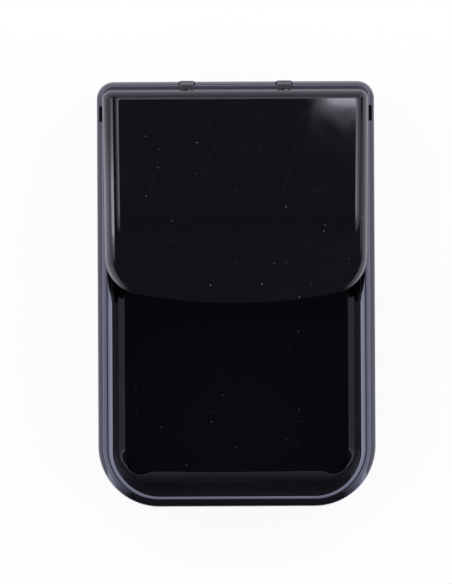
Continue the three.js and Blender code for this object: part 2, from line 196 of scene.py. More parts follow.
# Underside: rubber feet, and pan head screws with a cross recess
FOOT_EDGE = 0.3
SCREW_HEAD = 1.1
SCREW_HEAD_EDGE = 0.35
SCREW_SHANK = 2.0
SCREW_SHANK_EDGE = 0.2
SCREW_OVERLAP = 0.1
CROSS_REACH = 0.55
CROSS_HALF_WIDTH = 0.2
CROSS_DEPTH = 0.62

# Reflection strength of the gloss skin, painted by the height above the table, in the clip store and on the
# scoop in front: painted shade dims the reflections in the well, a painted highlight brightens them low in
# the scoop
PAINTED_REFLECTION_TOP = 26
PAINTED_REFLECTION_IN_STORE = [(0, 0.4), (18.5, 0.4), (20.5, 0.75), (26, 0.75)]
PAINTED_REFLECTION_IN_FRONT = [(0, 0.85), (11.5, 0.85), (12.8, 0.16), (19.5, 0.16), (20.5, 0.75), (26, 0.75)]
PAINTED_SCOOP_FROM_Y = -38
PAINTED_SCOOP_FULL_Y = -43

# Light tent: its brightness by the height above the table and by the bearing, both in degrees
TENT_UP = [
    (0, 4.5), (12, 4.4), (25, 2.9), (40, 1.9), (55, 1.3), (70, 0.9),
    (80, 0.7), (85, 0.12), (90, 0.06),
]
TENT_ROUND = [
    (-180, 1.0), (-150, 0.85), (-120, 0.03), (-60, 0.03), (-30, 0.85),
    (0, 1.0), (45, 0.85), (90, 0.72), (135, 0.85), (180, 1.0),
]
TENT_LEAST = 0.06

# Table: half its width in metres, and how much of the white backdrop the camera sees on it
FLOOR_HALF_WIDTH = 1.5
BACKDROP_SHARE = 0.9

# Faces broader than this, in square millimetres, are flat and mirror as such, level ones from a smaller size
BROAD_FACE = 300
BROAD_LEVEL_FACE = 25
LEVEL = 0.99
UPWARD = 0.5
SHARP_ANGLE = math.radians(21)

# Steps along round stretches
FRONT_STEPS = 40
REAR_STEPS = 16
ROUND_STEPS = 12
RIM_STEPS = 4
WALL_STEPS = 6
EDGE_STEPS = 3
LID_EDGE_STEPS = 6
BOW_STEPS = 64
BEVEL_STEPS = 3
BAR_STEPS = 64
SLIM_BAR_STEPS = 48
STUB_STEPS = 32


def linear(hex_colour):
    """An sRGB hex colour as linear red, green, blue and a full alpha."""
    channels = [int(hex_colour[i:i + 2], 16) / 255 for i in (1, 3, 5)]
    return [c / 12.92 if c <= 0.04045 else ((c + 0.055) / 1.055) ** 2.4 for c in channels] + [1.0]


def lerp(a, b, t):
    """The value at share t of the way from a to b."""
    return a + (b - a) * t


def smooth_step(t):
    """A share from 0 to 1 with an eased start and end."""
    t = min(max(t, 0.0), 1.0)
    return t * t * (3 - 2 * t)


# Mesh building

def draw_outline(bm, corners, z):
    """Draws a closed outline at a height.

    Each corner is a vertex spun about its centre: (centre, radius, start angle, sweep, steps). A stop on a
    straight stretch is a corner with no steps.
    """
    bm.edges.ensure_lookup_table()
    first_edge = len(bm.edges)
    first = tip = None
    for (x, y), radius, start, sweep, steps in corners:
        place = Vector((x + radius * math.cos(start), y + radius * math.sin(start), z))
        if tip and (tip.co - place).length < HAIR / 2:
            vert = tip
        else:
            vert = bm.verts.new(place)
            if tip:
                bm.edges.new((tip, vert))
        first = first or vert
        if not steps:
            tip = vert
            continue
        spun = bmesh.ops.spin(bm, geom=[vert], cent=(x, y, z), axis=(0, 0, 1), angle=sweep, steps=steps)
        tip = spun["geom_last"][0]
    bm.edges.new((tip, first))
    bm.edges.ensure_lookup_table()
    return bm.edges[first_edge:]


def loft(bm, loops):
    """Bridges each outline to the next and closes both ends with a face."""
    for lower, upper in zip(loops, loops[1:]):
        bmesh.ops.bridge_loops(bm, edges=lower + upper)
    for end in (loops[0], loops[-1]):
        bmesh.ops.contextual_create(bm, geom=end)
    bmesh.ops.recalc_face_normals(bm, faces=bm.faces)


def make_piece(name, bm, material, body, replaced=()):
    """Turns a mesh in millimetres into a smooth piece that rides on a body."""
    bmesh.ops.scale(bm, vec=(MM, MM, MM), verts=bm.verts)
    mesh = bpy.data.meshes.new(name)
    bm.to_mesh(mesh)
    bm.free()
    mesh.shade_smooth()
    mesh.set_sharp_from_angle(angle=SHARP_ANGLE)
    for polygon in mesh.polygons:
        broad = BROAD_LEVEL_FACE if polygon.normal.z > LEVEL else BROAD_FACE
        polygon.use_smooth = polygon.area < broad * MM * MM
    piece = bpy.data.objects.new(name, mesh)
    bpy.context.collection.objects.link(piece)
    mesh.materials.append(material)
    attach(piece, body)
    if replaced:
        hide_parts(*replaced)


def carve(bm, others):
    """Cuts other closed meshes out of this one, and returns the result as a new mesh."""
    base = bpy.data.objects.new("base", bpy.data.meshes.new("base"))
    bm.to_mesh(base.data)
    bm.free()
    bpy.context.collection.objects.link(base)
    tools = []
    for other in others:
        tool = bpy.data.objects.new("tool", bpy.data.meshes.new("tool"))
        other.to_mesh(tool.data)
        other.free()
        bpy.context.collection.objects.link(tool)
        modifier = base.modifiers.new("boolean", "BOOLEAN")
        modifier.operation = "DIFFERENCE"
        modifier.solver = "EXACT"
        modifier.object = tool
        tools.append(tool)
    evaluated = base.evaluated_get(bpy.context.evaluated_depsgraph_get())
    result = bmesh.new()
    result.from_mesh(evaluated.to_mesh())
    evaluated.to_mesh_clear()
    for unused in [base, *tools]:
        mesh = unused.data
        bpy.data.objects.remove(unused)
        bpy.data.meshes.remove(mesh)
    return result


def join(bm, others):
    """Adds other closed meshes to this one."""
    for other in others:
        mesh = bpy.data.meshes.new("part")
        other.to_mesh(mesh)
        other.free()
        bm.from_mesh(mesh)
        bpy.data.meshes.remove(mesh)
    return bm


def soften(bm, edges, width):
    """Rounds off edges of a mesh."""
    bmesh.ops.bevel(
        bm,
        geom=edges,
        offset=width,
        segments=BEVEL_STEPS,
        profile=0.5,
        affect="EDGES",
        material=-1,
    )


def block(low, high, round_edge=0.0):
    """A closed box between two corners, with rounded edges if asked."""
    bm = bmesh.new()
    bmesh.ops.create_cube(bm, size=1)
    size = Vector(high) - Vector(low)
    bmesh.ops.scale(bm, vec=size, verts=bm.verts)
    bmesh.ops.translate(bm, vec=(Vector(low) + Vector(high)) / 2, verts=bm.verts)
    if round_edge:
        soften(bm, bm.edges, round_edge)
    return bm


def round_bar(centre, radius, length, axis, segments, round_edge=0.0):
    """A closed round bar along X or Z about a centre, with rounded ends if asked."""
    bm = bmesh.new()
    bmesh.ops.create_cone(
        bm,
        cap_ends=True,
        segments=segments,
        radius1=radius,
        radius2=radius,
        depth=length,
    )
    if round_edge:
        rims = [edge for edge in bm.edges if abs(edge.verts[0].co.z - edge.verts[1].co.z) < HAIR]
        soften(bm, rims, round_edge)
    if axis == "X":
        bmesh.ops.rotate(bm, cent=(0, 0, 0), matrix=Matrix.Rotation(QUARTER, 3, "Y"), verts=bm.verts)
    bmesh.ops.translate(bm, vec=centre, verts=bm.verts)
    return bm


# Body

def rounded_corners(half_width, front, rear, front_radius, rear_radius):
    """The four corners of a rounded rectangle, anticlockwise from the rear right."""
    rear_x = half_width - rear_radius
    front_x = half_width - front_radius
    return [
        ((rear_x, rear - rear_radius), rear_radius, 0, QUARTER, REAR_STEPS),
        ((-rear_x, rear - rear_radius), rear_radius, QUARTER, QUARTER, REAR_STEPS),
        ((-front_x, front + front_radius), front_radius, 2 * QUARTER, QUARTER, FRONT_STEPS),
        ((front_x, front + front_radius), front_radius, 3 * QUARTER, QUARTER, FRONT_STEPS),
    ]


def body_corners(side, front=None, rear=None, front_radius=None, rear_radius=None):
    """A rounded rectangle that lies inside the rim's silhouette by an inset, or by one for each end."""
    return rounded_corners(
        RIM_HALF_WIDTH - side,
        -RIM_HALF_LENGTH + (side if front is None else front),
        RIM_HALF_LENGTH - (side if rear is None else rear),
        FRONT_RADIUS - side if front_radius is None else front_radius,
        REAR_RADIUS - side if rear_radius is None else rear_radius,
    )


def slope_profile(stops, reach, steps):
    """A stretch given by its slopes along the way, as (share of its reach, height gained from its start)."""
    points = [(0.0, 0.0)]
    for (start, slope), (end, next_slope) in zip(stops, stops[1:]):
        for i in range(steps):
            middle = math.radians(lerp(slope, next_slope, (i + 0.5) / steps))
            rise = points[-1][1] + reach * (end - start) / steps * math.tan(middle)
            points.append((lerp(start, end, (i + 1) / steps), rise))
    return points


FLANK = slope_profile(RIM_OUTSIDE, CREST_SIDE, RIM_STEPS)
LIP = slope_profile(RIM_INSIDE, LIP_SIDE, RIM_STEPS)
FLANK_DROP = FLANK[-1][1]
LIP_Z = RIM_Z - LIP[-1][1]


def skirt_inset(z):
    """How far the drafted outer wall lies inside the rim's silhouette: less than nothing below the rim."""
    top = RIM_Z - FLANK_DROP
    return -SKIRT_FLARE * (top - z) / (top - SKIRT_Z)


def round_run(start, end, steps):
    """Steps along a round stretch between two slopes, each as (share of its run, drop per unit of run)."""
    full = math.sin(end) - math.sin(start)
    points = []
    for i in range(steps + 1):
        slope = lerp(start, end, i / steps)
        run = (math.sin(slope) - math.sin(start)) / full
        points.append((run, (math.cos(start) - math.cos(slope)) / full))
    return points


def well_levels():
    """The insets of the well's wall, facet and scoop from the lip down to the floor: (side, front, z)."""
    wall_top = LIP_Z
    side_top = CREST_SIDE + LIP_SIDE
    front_top = CREST_FRONT + LIP_FRONT
    side_low = side_top + WALL_RUN_SIDE
    front_low = front_top + WALL_RUN_FRONT
    facet_z = WELL_FLOOR_Z + FACET_RUN_SIDE * math.tan(FACET_SLOPE)
    scoop = round_run(SCOOP_SLOPE_HIGH, SCOOP_SLOPE_LOW, ROUND_STEPS)
    scoop_z = WELL_FLOOR_Z + SCOOP_RUN * scoop[-1][1]

    def side_at(z):
        if z > facet_z:
            return lerp(side_low, side_top, (z - facet_z) / (wall_top - facet_z))
        return side_low + (facet_z - z) / math.tan(FACET_SLOPE)

    levels = [(side_top, front_top, wall_top)]
    for i in range(1, WALL_STEPS):
        z = lerp(wall_top, scoop_z, i / WALL_STEPS)
        levels.append((side_at(z), lerp(front_top, front_low, i / WALL_STEPS), z))
    heights = [(scoop_z - SCOOP_RUN * fall, front_low + SCOOP_RUN * run) for run, fall in scoop]
    for z, front in heights:
        levels.append((side_at(z), front, z))
    return levels


def well_radius(z, top):
    """The radius of the well's front corners, tight near the floor and wide at the rim."""
    start = WELL_FLOOR_Z + WELL_LOW_RISE
    if z < start:
        return WELL_LOW_RADIUS
    return lerp(WELL_LOW_RADIUS, WELL_TOP_RADIUS, (z - start) / (top - start))


def well_outlines(thickness=0.0):
    """The well's outlines from the lip to the floor. Grown by a thickness they are the tub's outside."""
    levels = well_levels()
    top = levels[0][2]
    outlines = []
    for side, front, z in levels:
        outlines.append((body_corners(
            side - thickness,
            front=front - thickness,
            rear=side - thickness,
            front_radius=well_radius(z, top) + thickness,
            rear_radius=WELL_REAR_RADIUS + thickness,
        ), z - (thickness if z < WELL_FLOOR_Z + TUB_FLOOR_RISE else 0)))
    return outlines


def flank_heights(share, rise):
    """The heights of a line on the rim's outer flank: on the sides, in front and behind."""
    drop = FLANK_DROP - rise
    in_front = drop
    if share > FRONT_FLANK_START:
        in_front = min(drop, (1 - share) * CREST_FRONT * math.tan(FRONT_FLANK_SLOPE))
    behind = drop * (1 - REAR_FLANK_RAISE * smooth_step(share / REAR_FLANK_END))
    return RIM_Z - drop, RIM_Z - in_front, RIM_Z - behind


def lip_heights(drop):
    """The heights of a line on the rim's inner flank, which keeps its slope where it narrows in front."""
    return RIM_Z - drop, RIM_Z - drop * LIP_FRONT / LIP_SIDE, RIM_Z - drop


def body_levels():
    """Every outline of the body's skin: from under the well round the skirt and over the rim to the floor.

    An outline's height is one number, or three: on the sides, in front and behind.
    """
    tub = [level for level in reversed(well_outlines(WALL)) if level[1] < HOLLOW_TOP_Z]
    levels = tub + [(tub[-1][0], HOLLOW_TOP_Z)]
    for z in (HOLLOW_TOP_Z - HAIR, SKIRT_Z + SKIRT_EDGE):
        levels.append((body_corners(skirt_inset(z) + WALL), z))
    for i in range(1, EDGE_STEPS + 1):
        angle = QUARTER * i / EDGE_STEPS
        inset = skirt_inset(SKIRT_Z) + WALL - SKIRT_EDGE * (1 - math.cos(angle))
        levels.append((body_corners(inset), SKIRT_Z + SKIRT_EDGE * (1 - math.sin(angle))))
    for i in range(EDGE_STEPS + 1):
        angle = QUARTER * i / EDGE_STEPS
        inset = skirt_inset(SKIRT_Z) + SKIRT_EDGE * (1 - math.sin(angle))
        levels.append((body_corners(inset), SKIRT_Z + HAIR + SKIRT_EDGE * (1 - math.cos(angle))))
    for share, rise in FLANK:
        levels.append((body_corners(
            CREST_SIDE * share,
            front=CREST_FRONT * share,
        ), flank_heights(share, rise)))
    for share, drop in LIP[1:-1]:
        levels.append((body_corners(
            CREST_SIDE + LIP_SIDE * share,
            front=CREST_FRONT + LIP_FRONT * share,
            rear_radius=lerp(REAR_RADIUS - CREST_SIDE, WELL_REAR_RADIUS, share),
        ), lip_heights(drop)))
    well = well_outlines()
    levels.append((well[0][0], lip_heights(RIM_Z - LIP_Z)))
    levels += well[1:]
    side, front, z = well_levels()[-1]
    levels.append((body_corners(
        side + WELL_FLOOR_MARGIN,
        front=front + WELL_FLOOR_MARGIN,
        front_radius=WELL_LOW_RADIUS - WELL_FLOOR_MARGIN,
        rear_radius=WELL_REAR_RADIUS - WELL_FLOOR_MARGIN,
    ), z - HAIR))
    return levels


def body_level(bm, corners, heights):
    """One outline of the body's skin, eased from its height on the sides to those in front and behind."""
    if isinstance(heights, float):
        return draw_outline(bm, corners, heights)
    on_sides, in_front, behind = heights
    first = len(bm.verts)
    loop = draw_outline(bm, corners, on_sides)
    bm.verts.ensure_lookup_table()
    for vert in bm.verts[first:]:
        y = vert.co.y
        front_share = smooth_step((FRONT_RADIUS - RIM_HALF_LENGTH - y) / (FRONT_RADIUS - CREST_SIDE))
        rear_share = smooth_step((y - RIM_HALF_LENGTH + REAR_RADIUS) / (REAR_RADIUS - CREST_SIDE))
        vert.co.z = lerp(lerp(on_sides, in_front, front_share), behind, rear_share)
    return loop


def build_body():
    """The body moulding: its skin lofted through every outline, then its pockets, notches and sockets."""
    bm = bmesh.new()
    loft(bm, [body_level(bm, corners, heights) for corners, heights in body_levels()])
    cutters = []
    rear = RIM_HALF_LENGTH - POCKET_REAR_INSET
    outer = RIM_HALF_WIDTH - POCKET_OUTER_INSET
    for sign in (-1, 1):
        x_range = sorted((sign * outer, sign * (outer - POCKET_WIDTH)))
        pocket = block(
            (x_range[0], rear - POCKET_LENGTH, RIM_Z - POCKET_DEPTH),
            (x_range[1], rear, RIM_Z + CUT_PAST),
        )
        for vert in pocket.verts:
            if vert.co.z < RIM_Z:
                vert.co.z -= (rear - vert.co.y) * POCKET_FALL
        cutters.append(pocket)
    half = KNUCKLE_WIDTH / 2 + FIT
    socket_length = 2 * (half + STUB_LENGTH)
    inner = RIM_HALF_LENGTH - CREST_SIDE - LIP_SIDE - NOTCH_MARGIN
    for sign in (-1, 1):
        x = sign * HINGE_HALF_SPACING
        cutters.append(block(
            (x - half, inner, HINGE.z - KNUCKLE_RADIUS - FIT),
            (x + half, RIM_HALF_LENGTH + CUT_PAST, RIM_Z + CUT_PAST),
        ))
        middle = (x, HINGE.y, HINGE.z)
        cutters.append(round_bar(middle, STUB_RADIUS + FIT, socket_length, "X", SLIM_BAR_STEPS))
    return carve(bm, cutters)


# Lid

def lid_corners(side, rear=None, shift=0.0):
    """The lid's outline moved inwards: straight sides and rear, round corners and a bowed front."""
    half_width = LID_HALF_WIDTH - side
    shift += LID_PLAY
    rear_y = LID_REAR_Y - (side if rear is None else rear)
    rear_radius = max(LID_REAR_RADIUS - side, LID_LEAST_RADIUS)
    radius = LID_CORNER_RADIUS - side
    bow_radius = LID_BOW_RADIUS - side
    bow_centre = LID_FRONT_Y + LID_BOW_RADIUS
    corner_x = half_width - radius
    corner_y = bow_centre - math.sqrt((bow_radius - radius) ** 2 - corner_x ** 2)
    half_bow = math.asin(corner_x / (bow_radius - radius))
    rear_x = half_width + LID_TAPER - rear_radius
    rear_y -= rear_radius
    down = 3 * QUARTER
    right_side = []
    left_side = []
    for y in SIDE_STOPS:
        out = lerp(half_width, half_width + LID_TAPER, (y - corner_y) / (rear_y - corner_y))
        left_side.append(((shift - out, y), 0, 0, 0, 0))
        right_side.insert(0, ((shift + out, y), 0, 0, 0, 0))
    return [
        ((shift + rear_x, rear_y), rear_radius, 0, QUARTER, REAR_STEPS),
        ((shift - rear_x, rear_y), rear_radius, QUARTER, QUARTER, REAR_STEPS),
        *left_side,
        ((shift - corner_x, corner_y), radius, 2 * QUARTER, QUARTER - half_bow, FRONT_STEPS),
        ((shift, bow_centre), bow_radius, down - half_bow, 2 * half_bow, BOW_STEPS),
        ((shift + corner_x, corner_y), radius, down + half_bow, QUARTER - half_bow, FRONT_STEPS),
        *right_side,
    ]


def front_edge(step):
    """The rounded upper edge of the lid's plain front at a step of its turn, as (inset, height)."""
    angle = QUARTER * step / (LID_EDGE_STEPS + ROUND_STEPS)
    return FRONT_EDGE_RADIUS * (1 - math.cos(angle)), -FRONT_EDGE_RADIUS * (1 - math.sin(angle))


def lid_profile():
    """The lid's skin from its lower edge to the panel.

    Each row is (part, insets on the left, right and rear, heights above the panel there, share of the panel's
    height, inset in front, height there above the plain front, or above the panel for the lower edge).
    """
    even = Vector((1, 1, 1))
    lower_edge = LID_UNDER_Z - PANEL_Z
    rows = []
    for i in range(EDGE_STEPS + 1):
        angle = QUARTER * i / EDGE_STEPS
        inset = LID_UNDER_EDGE * (1 - math.sin(angle))
        height = lower_edge + LID_UNDER_EDGE * (1 - math.cos(angle))
        rows.append(("edge", even * inset, even * height, 0, inset, height))
    edge_reach = EDGE_RADIUS * (1 - math.sin(BEAD_SLOPE))
    arc = math.sin(BEAD_SLOPE) - math.sin(BEAD_SLOPE_INSIDE)
    bead_radius = BEAD_RUN / arc
    bead_rise = bead_radius * (math.cos(BEAD_SLOPE_INSIDE) - math.cos(BEAD_SLOPE))
    for i in range(LID_EDGE_STEPS + 1):
        slope = lerp(QUARTER, BEAD_SLOPE, i / LID_EDGE_STEPS)
        inset = EDGE_RADIUS * (1 - math.sin(slope))
        fall = EDGE_RADIUS * (math.cos(BEAD_SLOPE) - math.cos(slope))
        heights = BEAD_CREST - bead_rise - even * fall
        rows.append(("bead", even * inset, heights, 0, *front_edge(i)))
    for i in range(1, ROUND_STEPS + 1):
        slope = lerp(BEAD_SLOPE, BEAD_SLOPE_INSIDE, i / ROUND_STEPS)
        insets = even * edge_reach + bead_radius * (math.sin(BEAD_SLOPE) - math.sin(slope))
        heights = BEAD_CREST - bead_radius * (math.cos(BEAD_SLOPE_INSIDE) - math.cos(slope))
        rows.append(("bead", insets, heights, 0, *front_edge(LID_EDGE_STEPS + i)))
    crest = even * edge_reach + BEAD_RUN
    for i, (inset, fall) in enumerate(MOAT_CUT):
        front_inset = FRONT_MOAT_INSET + FRONT_LINE_STEP * i
        rows.append(("panel", crest + inset, BEAD_CREST + fall, 0, front_inset, 0))
    floor = BEAD_CREST + MOAT_CUT[-1][1]
    for i, (inset, share) in enumerate(PANEL_EDGE):
        front_inset = FRONT_PANEL_INSET + FRONT_LINE_STEP * i
        rows.append(("panel", crest + inset, floor, share, front_inset, 0))
    for margin in PANEL_MARGINS:
        insets = crest + PANEL_EDGE[-1][0] + even * margin
        rows.append(("panel", insets, floor, 1, FRONT_MARGIN_INSET + margin, 0))
    return rows


def share_across(x):
    """How far a place lies from the lid's left edge to its right one, eased."""
    return smooth_step(x / LID_HALF_WIDTH / 2 + 0.5)


def front_height(x):
    """The height of the lid's plain front above its panel, a little lower on the right."""
    return lerp(FRONT_FALL_LEFT, FRONT_FALL_RIGHT, share_across(x))


def lid_height(place, low_end, part, heights, share):
    """The height above the panel of a line of the lid's skin, which runs out to the plain front."""
    across = share_across(place.x)
    behind = smooth_step(1 - (low_end - place.y) / LID_REAR_RADIUS)
    height = lerp(lerp(heights.x, heights.y, across), heights.z, behind)
    crest = lerp(lerp(BEAD_CREST.x, BEAD_CREST.y, across), BEAD_CREST.z, behind)
    front = front_height(place.x)
    bead_share = smooth_step((place.y - BEAD_END_Y) / (BEAD_LONG_Y - BEAD_END_Y))
    if part == "bead":
        return height - (crest - front) * (1 - bead_share)
    if part == "panel":
        panel_share = share * smooth_step((place.y - PANEL_END_Y) / (PANEL_LONG_Y - PANEL_END_Y))
        return lerp(lerp(front, height, bead_share), 0, panel_share)
    return height


def taper(y):
    """How far the edge has run out at a place along the lid: 0 on the sides, 1 along the bowed front."""
    return min(max((EDGE_END_Y - y) / EDGE_TAPER, 0.0), 1.0) ** 2


def outline_places(corners):
    """The places of an outline's vertices, in the order in which they are drawn."""
    bm = bmesh.new()
    draw_outline(bm, corners, 0)
    places = [vert.co.copy() for vert in bm.verts]
    bm.free()
    return places


def lid_level(bm, row):
    """One outline of the lid's skin, with the rounded edge running out towards the front."""
    part, (left, right, rear), heights, share, front_inset, front_rise = row
    first = len(bm.verts)
    loop = draw_outline(bm, lid_corners((left + right) / 2, rear, (left - right) / 2), 0)
    bm.verts.ensure_lookup_table()
    for vert, place in zip(bm.verts[first:], outline_places(lid_corners(front_inset))):
        z = PANEL_Z + lid_height(vert.co, LID_REAR_Y - rear, part, heights, share)
        level = Vector((vert.co.x, vert.co.y, z))
        front_z = PANEL_Z + front_rise + (0 if part == "edge" else front_height(place.x))
        vert.co = level.lerp(Vector((place.x, place.y, front_z)), taper(place.y))
    return loop


def lid_lip(sign):
    """The lip under one side of the lid, which keeps it straight."""
    low_x, high_x = sorted((sign * LIP_OUTER_X, sign * (LIP_OUTER_X - LIP_WIDTH)))
    low = (low_x, LIP_FRONT_Y, LID_UNDER_Z - LIP_DEPTH)
    high = (high_x, LID_REAR_Y - LIP_REAR_MARGIN, LID_UNDER_Z + LIP_ROOT)
    return block(low, high, LIP_EDGE)


def knuckle(x):
    """One hinge knuckle, the web that holds it and its two pivot stubs."""
    half = KNUCKLE_WIDTH / 2
    centre = HINGE + Vector((x, 0, 0))
    low = (x - half, HINGE.y - WEB_THICKNESS, HINGE.z)
    high = (x + half, HINGE.y, LID_UNDER_Z + WEB_ROOT)
    return [
        round_bar(centre, KNUCKLE_RADIUS, KNUCKLE_WIDTH, "X", BAR_STEPS, KNUCKLE_EDGE),
        block(low, high, WEB_EDGE),
        round_bar(centre, STUB_RADIUS, KNUCKLE_WIDTH + 2 * STUB_LENGTH, "X", STUB_STEPS, STUB_EDGE),
    ]


def build_lid():
    """The lid moulding: its skin lofted through the edge's profile, then the lips and knuckles joined on."""
    bm = bmesh.new()
    loops = [draw_outline(bm, lid_corners(LID_UNDER_INSET), LID_UNDER_Z)]
    for row in lid_profile():
        loops.append(lid_level(bm, row))
    loft(bm, loops)
    for y in SIDE_STOPS[FIRST_PANEL_STOP:]:
        upward = (face for face in bm.faces if face.normal.z > UPWARD)
        panel = max(upward, key=lambda face: len(face.verts))
        geom = [panel, *panel.edges, *panel.verts]
        bmesh.ops.bisect_plane(bm, geom=geom, dist=HAIR / 10, plane_co=(0, y, 0), plane_no=(0, 1, 0))
    extras = []
    for sign in (-1, 1):
        extras.append(lid_lip(sign))
        extras += knuckle(sign * HINGE_HALF_SPACING)
    return join(bm, extras)


# Underside

def build_foot(low, high):
    """A round rubber foot with a softened edge, in its recess of the base plate."""
    centre = (low + high) / 2
    return round_bar(centre, (high.x - low.x) / 2, high.z - low.z, "Z", BAR_STEPS, FOOT_EDGE)


def build_screw(low, high):
    """A pan head screw seen from below: a head with a cross recess, and a plain shank in its clear bore."""
    x = (low.x + high.x) / 2
    y = (low.y + high.y) / 2
    radius = (high.x - low.x) / 2
    head_place = (x, y, low.z + SCREW_HEAD / 2)
    head = round_bar(head_place, radius, SCREW_HEAD, "Z", BAR_STEPS, SCREW_HEAD_EDGE)
    reach = radius * CROSS_REACH
    recess_z = low.z + SCREW_HEAD * CROSS_DEPTH
    slots = []
    for half_x, half_y in ((reach, CROSS_HALF_WIDTH), (CROSS_HALF_WIDTH, reach)):
        slots.append(block((x - half_x, y - half_y, low.z - 1), (x + half_x, y + half_y, recess_z)))
    head = carve(head, slots)
    shank_low = low.z + SCREW_HEAD - SCREW_OVERLAP
    shank_place = (x, y, (shank_low + high.z) / 2)
    shank_length = high.z - shank_low
    shank = round_bar(shank_place, SCREW_SHANK / 2, shank_length, "Z", SLIM_BAR_STEPS, SCREW_SHANK_EDGE)
    return join(head, [shank])


# Materials

def add_node(owner, kind, inputs=None, **settings):
    """Adds a node with its settings. An input is a value, or an output of another node to link."""
    tree = owner.node_tree
    node = tree.nodes.new(kind)
    for name, value in settings.items():
        setattr(node, name, value)
    for name, value in (inputs or {}).items():
        socket = next(s for i, s in enumerate(node.inputs) if s.enabled and name in (s.name, i))
        if isinstance(value, bpy.types.NodeSocket):
            tree.links.new(value, socket)
        else:
            socket.default_value = value
    return node


def set_stops(node, stops):
    """Sets the stops of a colour ramp, as (place, grey level), from the lowest place to the highest."""
    elements = node.color_ramp.elements
    elements[0].position = stops[0][0]
    elements[1].position = stops[-1][0]
    for place, _ in stops[1:-1]:
        elements.new(place)
    for element, (place, level) in zip(elements, stops):
        element.color = (level, level, level, 1)


def math_node(owner, operation, first, second=None):
    """The output of a calculation on one or two numbers, each a value or another node's output."""
    inputs = {0: first} if second is None else {0: first, 1: second}
    return add_node(owner, "ShaderNodeMath", inputs, operation=operation).outputs[0]


def blend(material, share, dark, light):
    """The output of a blend of two colours by a share."""
    inputs = {"Factor": share, "A": dark, "B": light}
    return add_node(material, "ShaderNodeMix", inputs, data_type="RGBA").outputs["Result"]


def new_material(name):
    """An empty node material and its output node."""
    material = bpy.data.materials.new(name)
    material.use_nodes = True
    material.node_tree.nodes.clear()
    return material, add_node(material, "ShaderNodeOutputMaterial")


def painted_reflection_level(material, place, facing):
    """How strongly the gloss skin mirrors.

    Reflections are full on the rim and the lid. In the well they are dimmed as painted shade, and on the
    scoop's front wall, which faces back into the well, a painted highlight lies low down under a painted dark
    band.
    """
    split = add_node(material, "ShaderNodeSeparateXYZ", {"Vector": place})
    height = math_node(material, "DIVIDE", split.outputs["Z"], PAINTED_REFLECTION_TOP * MM)
    in_store = add_node(material, "ShaderNodeValToRGB", {"Fac": height})
    set_stops(in_store, [(z / PAINTED_REFLECTION_TOP, level) for z, level in PAINTED_REFLECTION_IN_STORE])
    in_front = add_node(material, "ShaderNodeValToRGB", {"Fac": height})
    set_stops(in_front, [(z / PAINTED_REFLECTION_TOP, level) for z, level in PAINTED_REFLECTION_IN_FRONT])
    forward = add_node(material, "ShaderNodeMapRange", {
        "Value": split.outputs["Y"],
        "From Min": PAINTED_SCOOP_FROM_Y * MM,
        "From Max": PAINTED_SCOOP_FULL_Y * MM,
    })
    inwards = math_node(material, "GREATER_THAN", facing.outputs["Y"], 0.05)
    painted_scoop_zone = math_node(material, "MULTIPLY", forward.outputs["Result"], inwards)
    return blend(material, painted_scoop_zone, in_store.outputs["Color"], in_front.outputs["Color"])


def scratch_marks(material, place):
    """Hairline scratches of wiping, in patches where they're most frequent.

    Real ones are 0.01 mm wide and too fine to show, so they are drawn 0.06 mm wide.
    """
    scratches = 0.0
    for angle, seed in ((0.35, 3.0), (-0.9, 7.0), (1.3, 11.0)):
        turned = add_node(material, "ShaderNodeMapping", {
            "Vector": place,
            "Rotation": (0, 0, angle),
            "Location": (seed * MM, seed * MM, 0),
            "Scale": (16 * MM, 0.4 * MM, 2.5 * MM),
        }, vector_type="TEXTURE")
        lines = add_node(material, "ShaderNodeTexNoise", {
            "Vector": turned.outputs["Vector"],
            "Scale": 1.0,
            "Detail": 0.0,
        })
        thin = add_node(material, "ShaderNodeMapRange", {
            "Value": lines.outputs["Fac"],
            "From Min": 0.74,
            "From Max": 0.8,
        })
        scratches = math_node(material, "MAXIMUM", scratches, thin.outputs[0])
    patches = add_node(material, "ShaderNodeTexNoise", {"Vector": place, "Scale": 45.0, "Detail": 2.0})
    rubbed = add_node(material, "ShaderNodeMapRange", {
        "Value": patches.outputs["Fac"],
        "From Min": 0.5,
        "From Max": 0.7,
    })
    return math_node(material, "MULTIPLY", scratches, rubbed.outputs[0])


def dust_specks(material, place, facing):
    """Dust on the faces that look up: a speck 0.1 to 0.3 mm across in some of the cells of 3.2 mm."""
    cells = add_node(material, "ShaderNodeTexVoronoi", {
        "Vector": place,
        "Scale": 1 / (3.2 * MM),
    }, voronoi_dimensions="2D")
    random = add_node(material, "ShaderNodeSeparateColor", {"Color": cells.outputs["Color"]})
    edge = add_node(material, "ShaderNodeMapRange", {
        "Value": random.outputs["Red"],
        "From Min": 0.75,
        "From Max": 1.1,
        "To Min": 0.0,
        "To Max": 0.06,
    })
    speck = math_node(material, "LESS_THAN", cells.outputs["Distance"], edge.outputs[0])
    looks_up = math_node(material, "GREATER_THAN", facing.outputs["Z"], 0.9)
    lying = math_node(material, "MULTIPLY", speck, looks_up)
    brightness = math_node(material, "MULTIPLY", random.outputs["Green"], 0.5)
    return math_node(material, "MULTIPLY", lying, brightness)


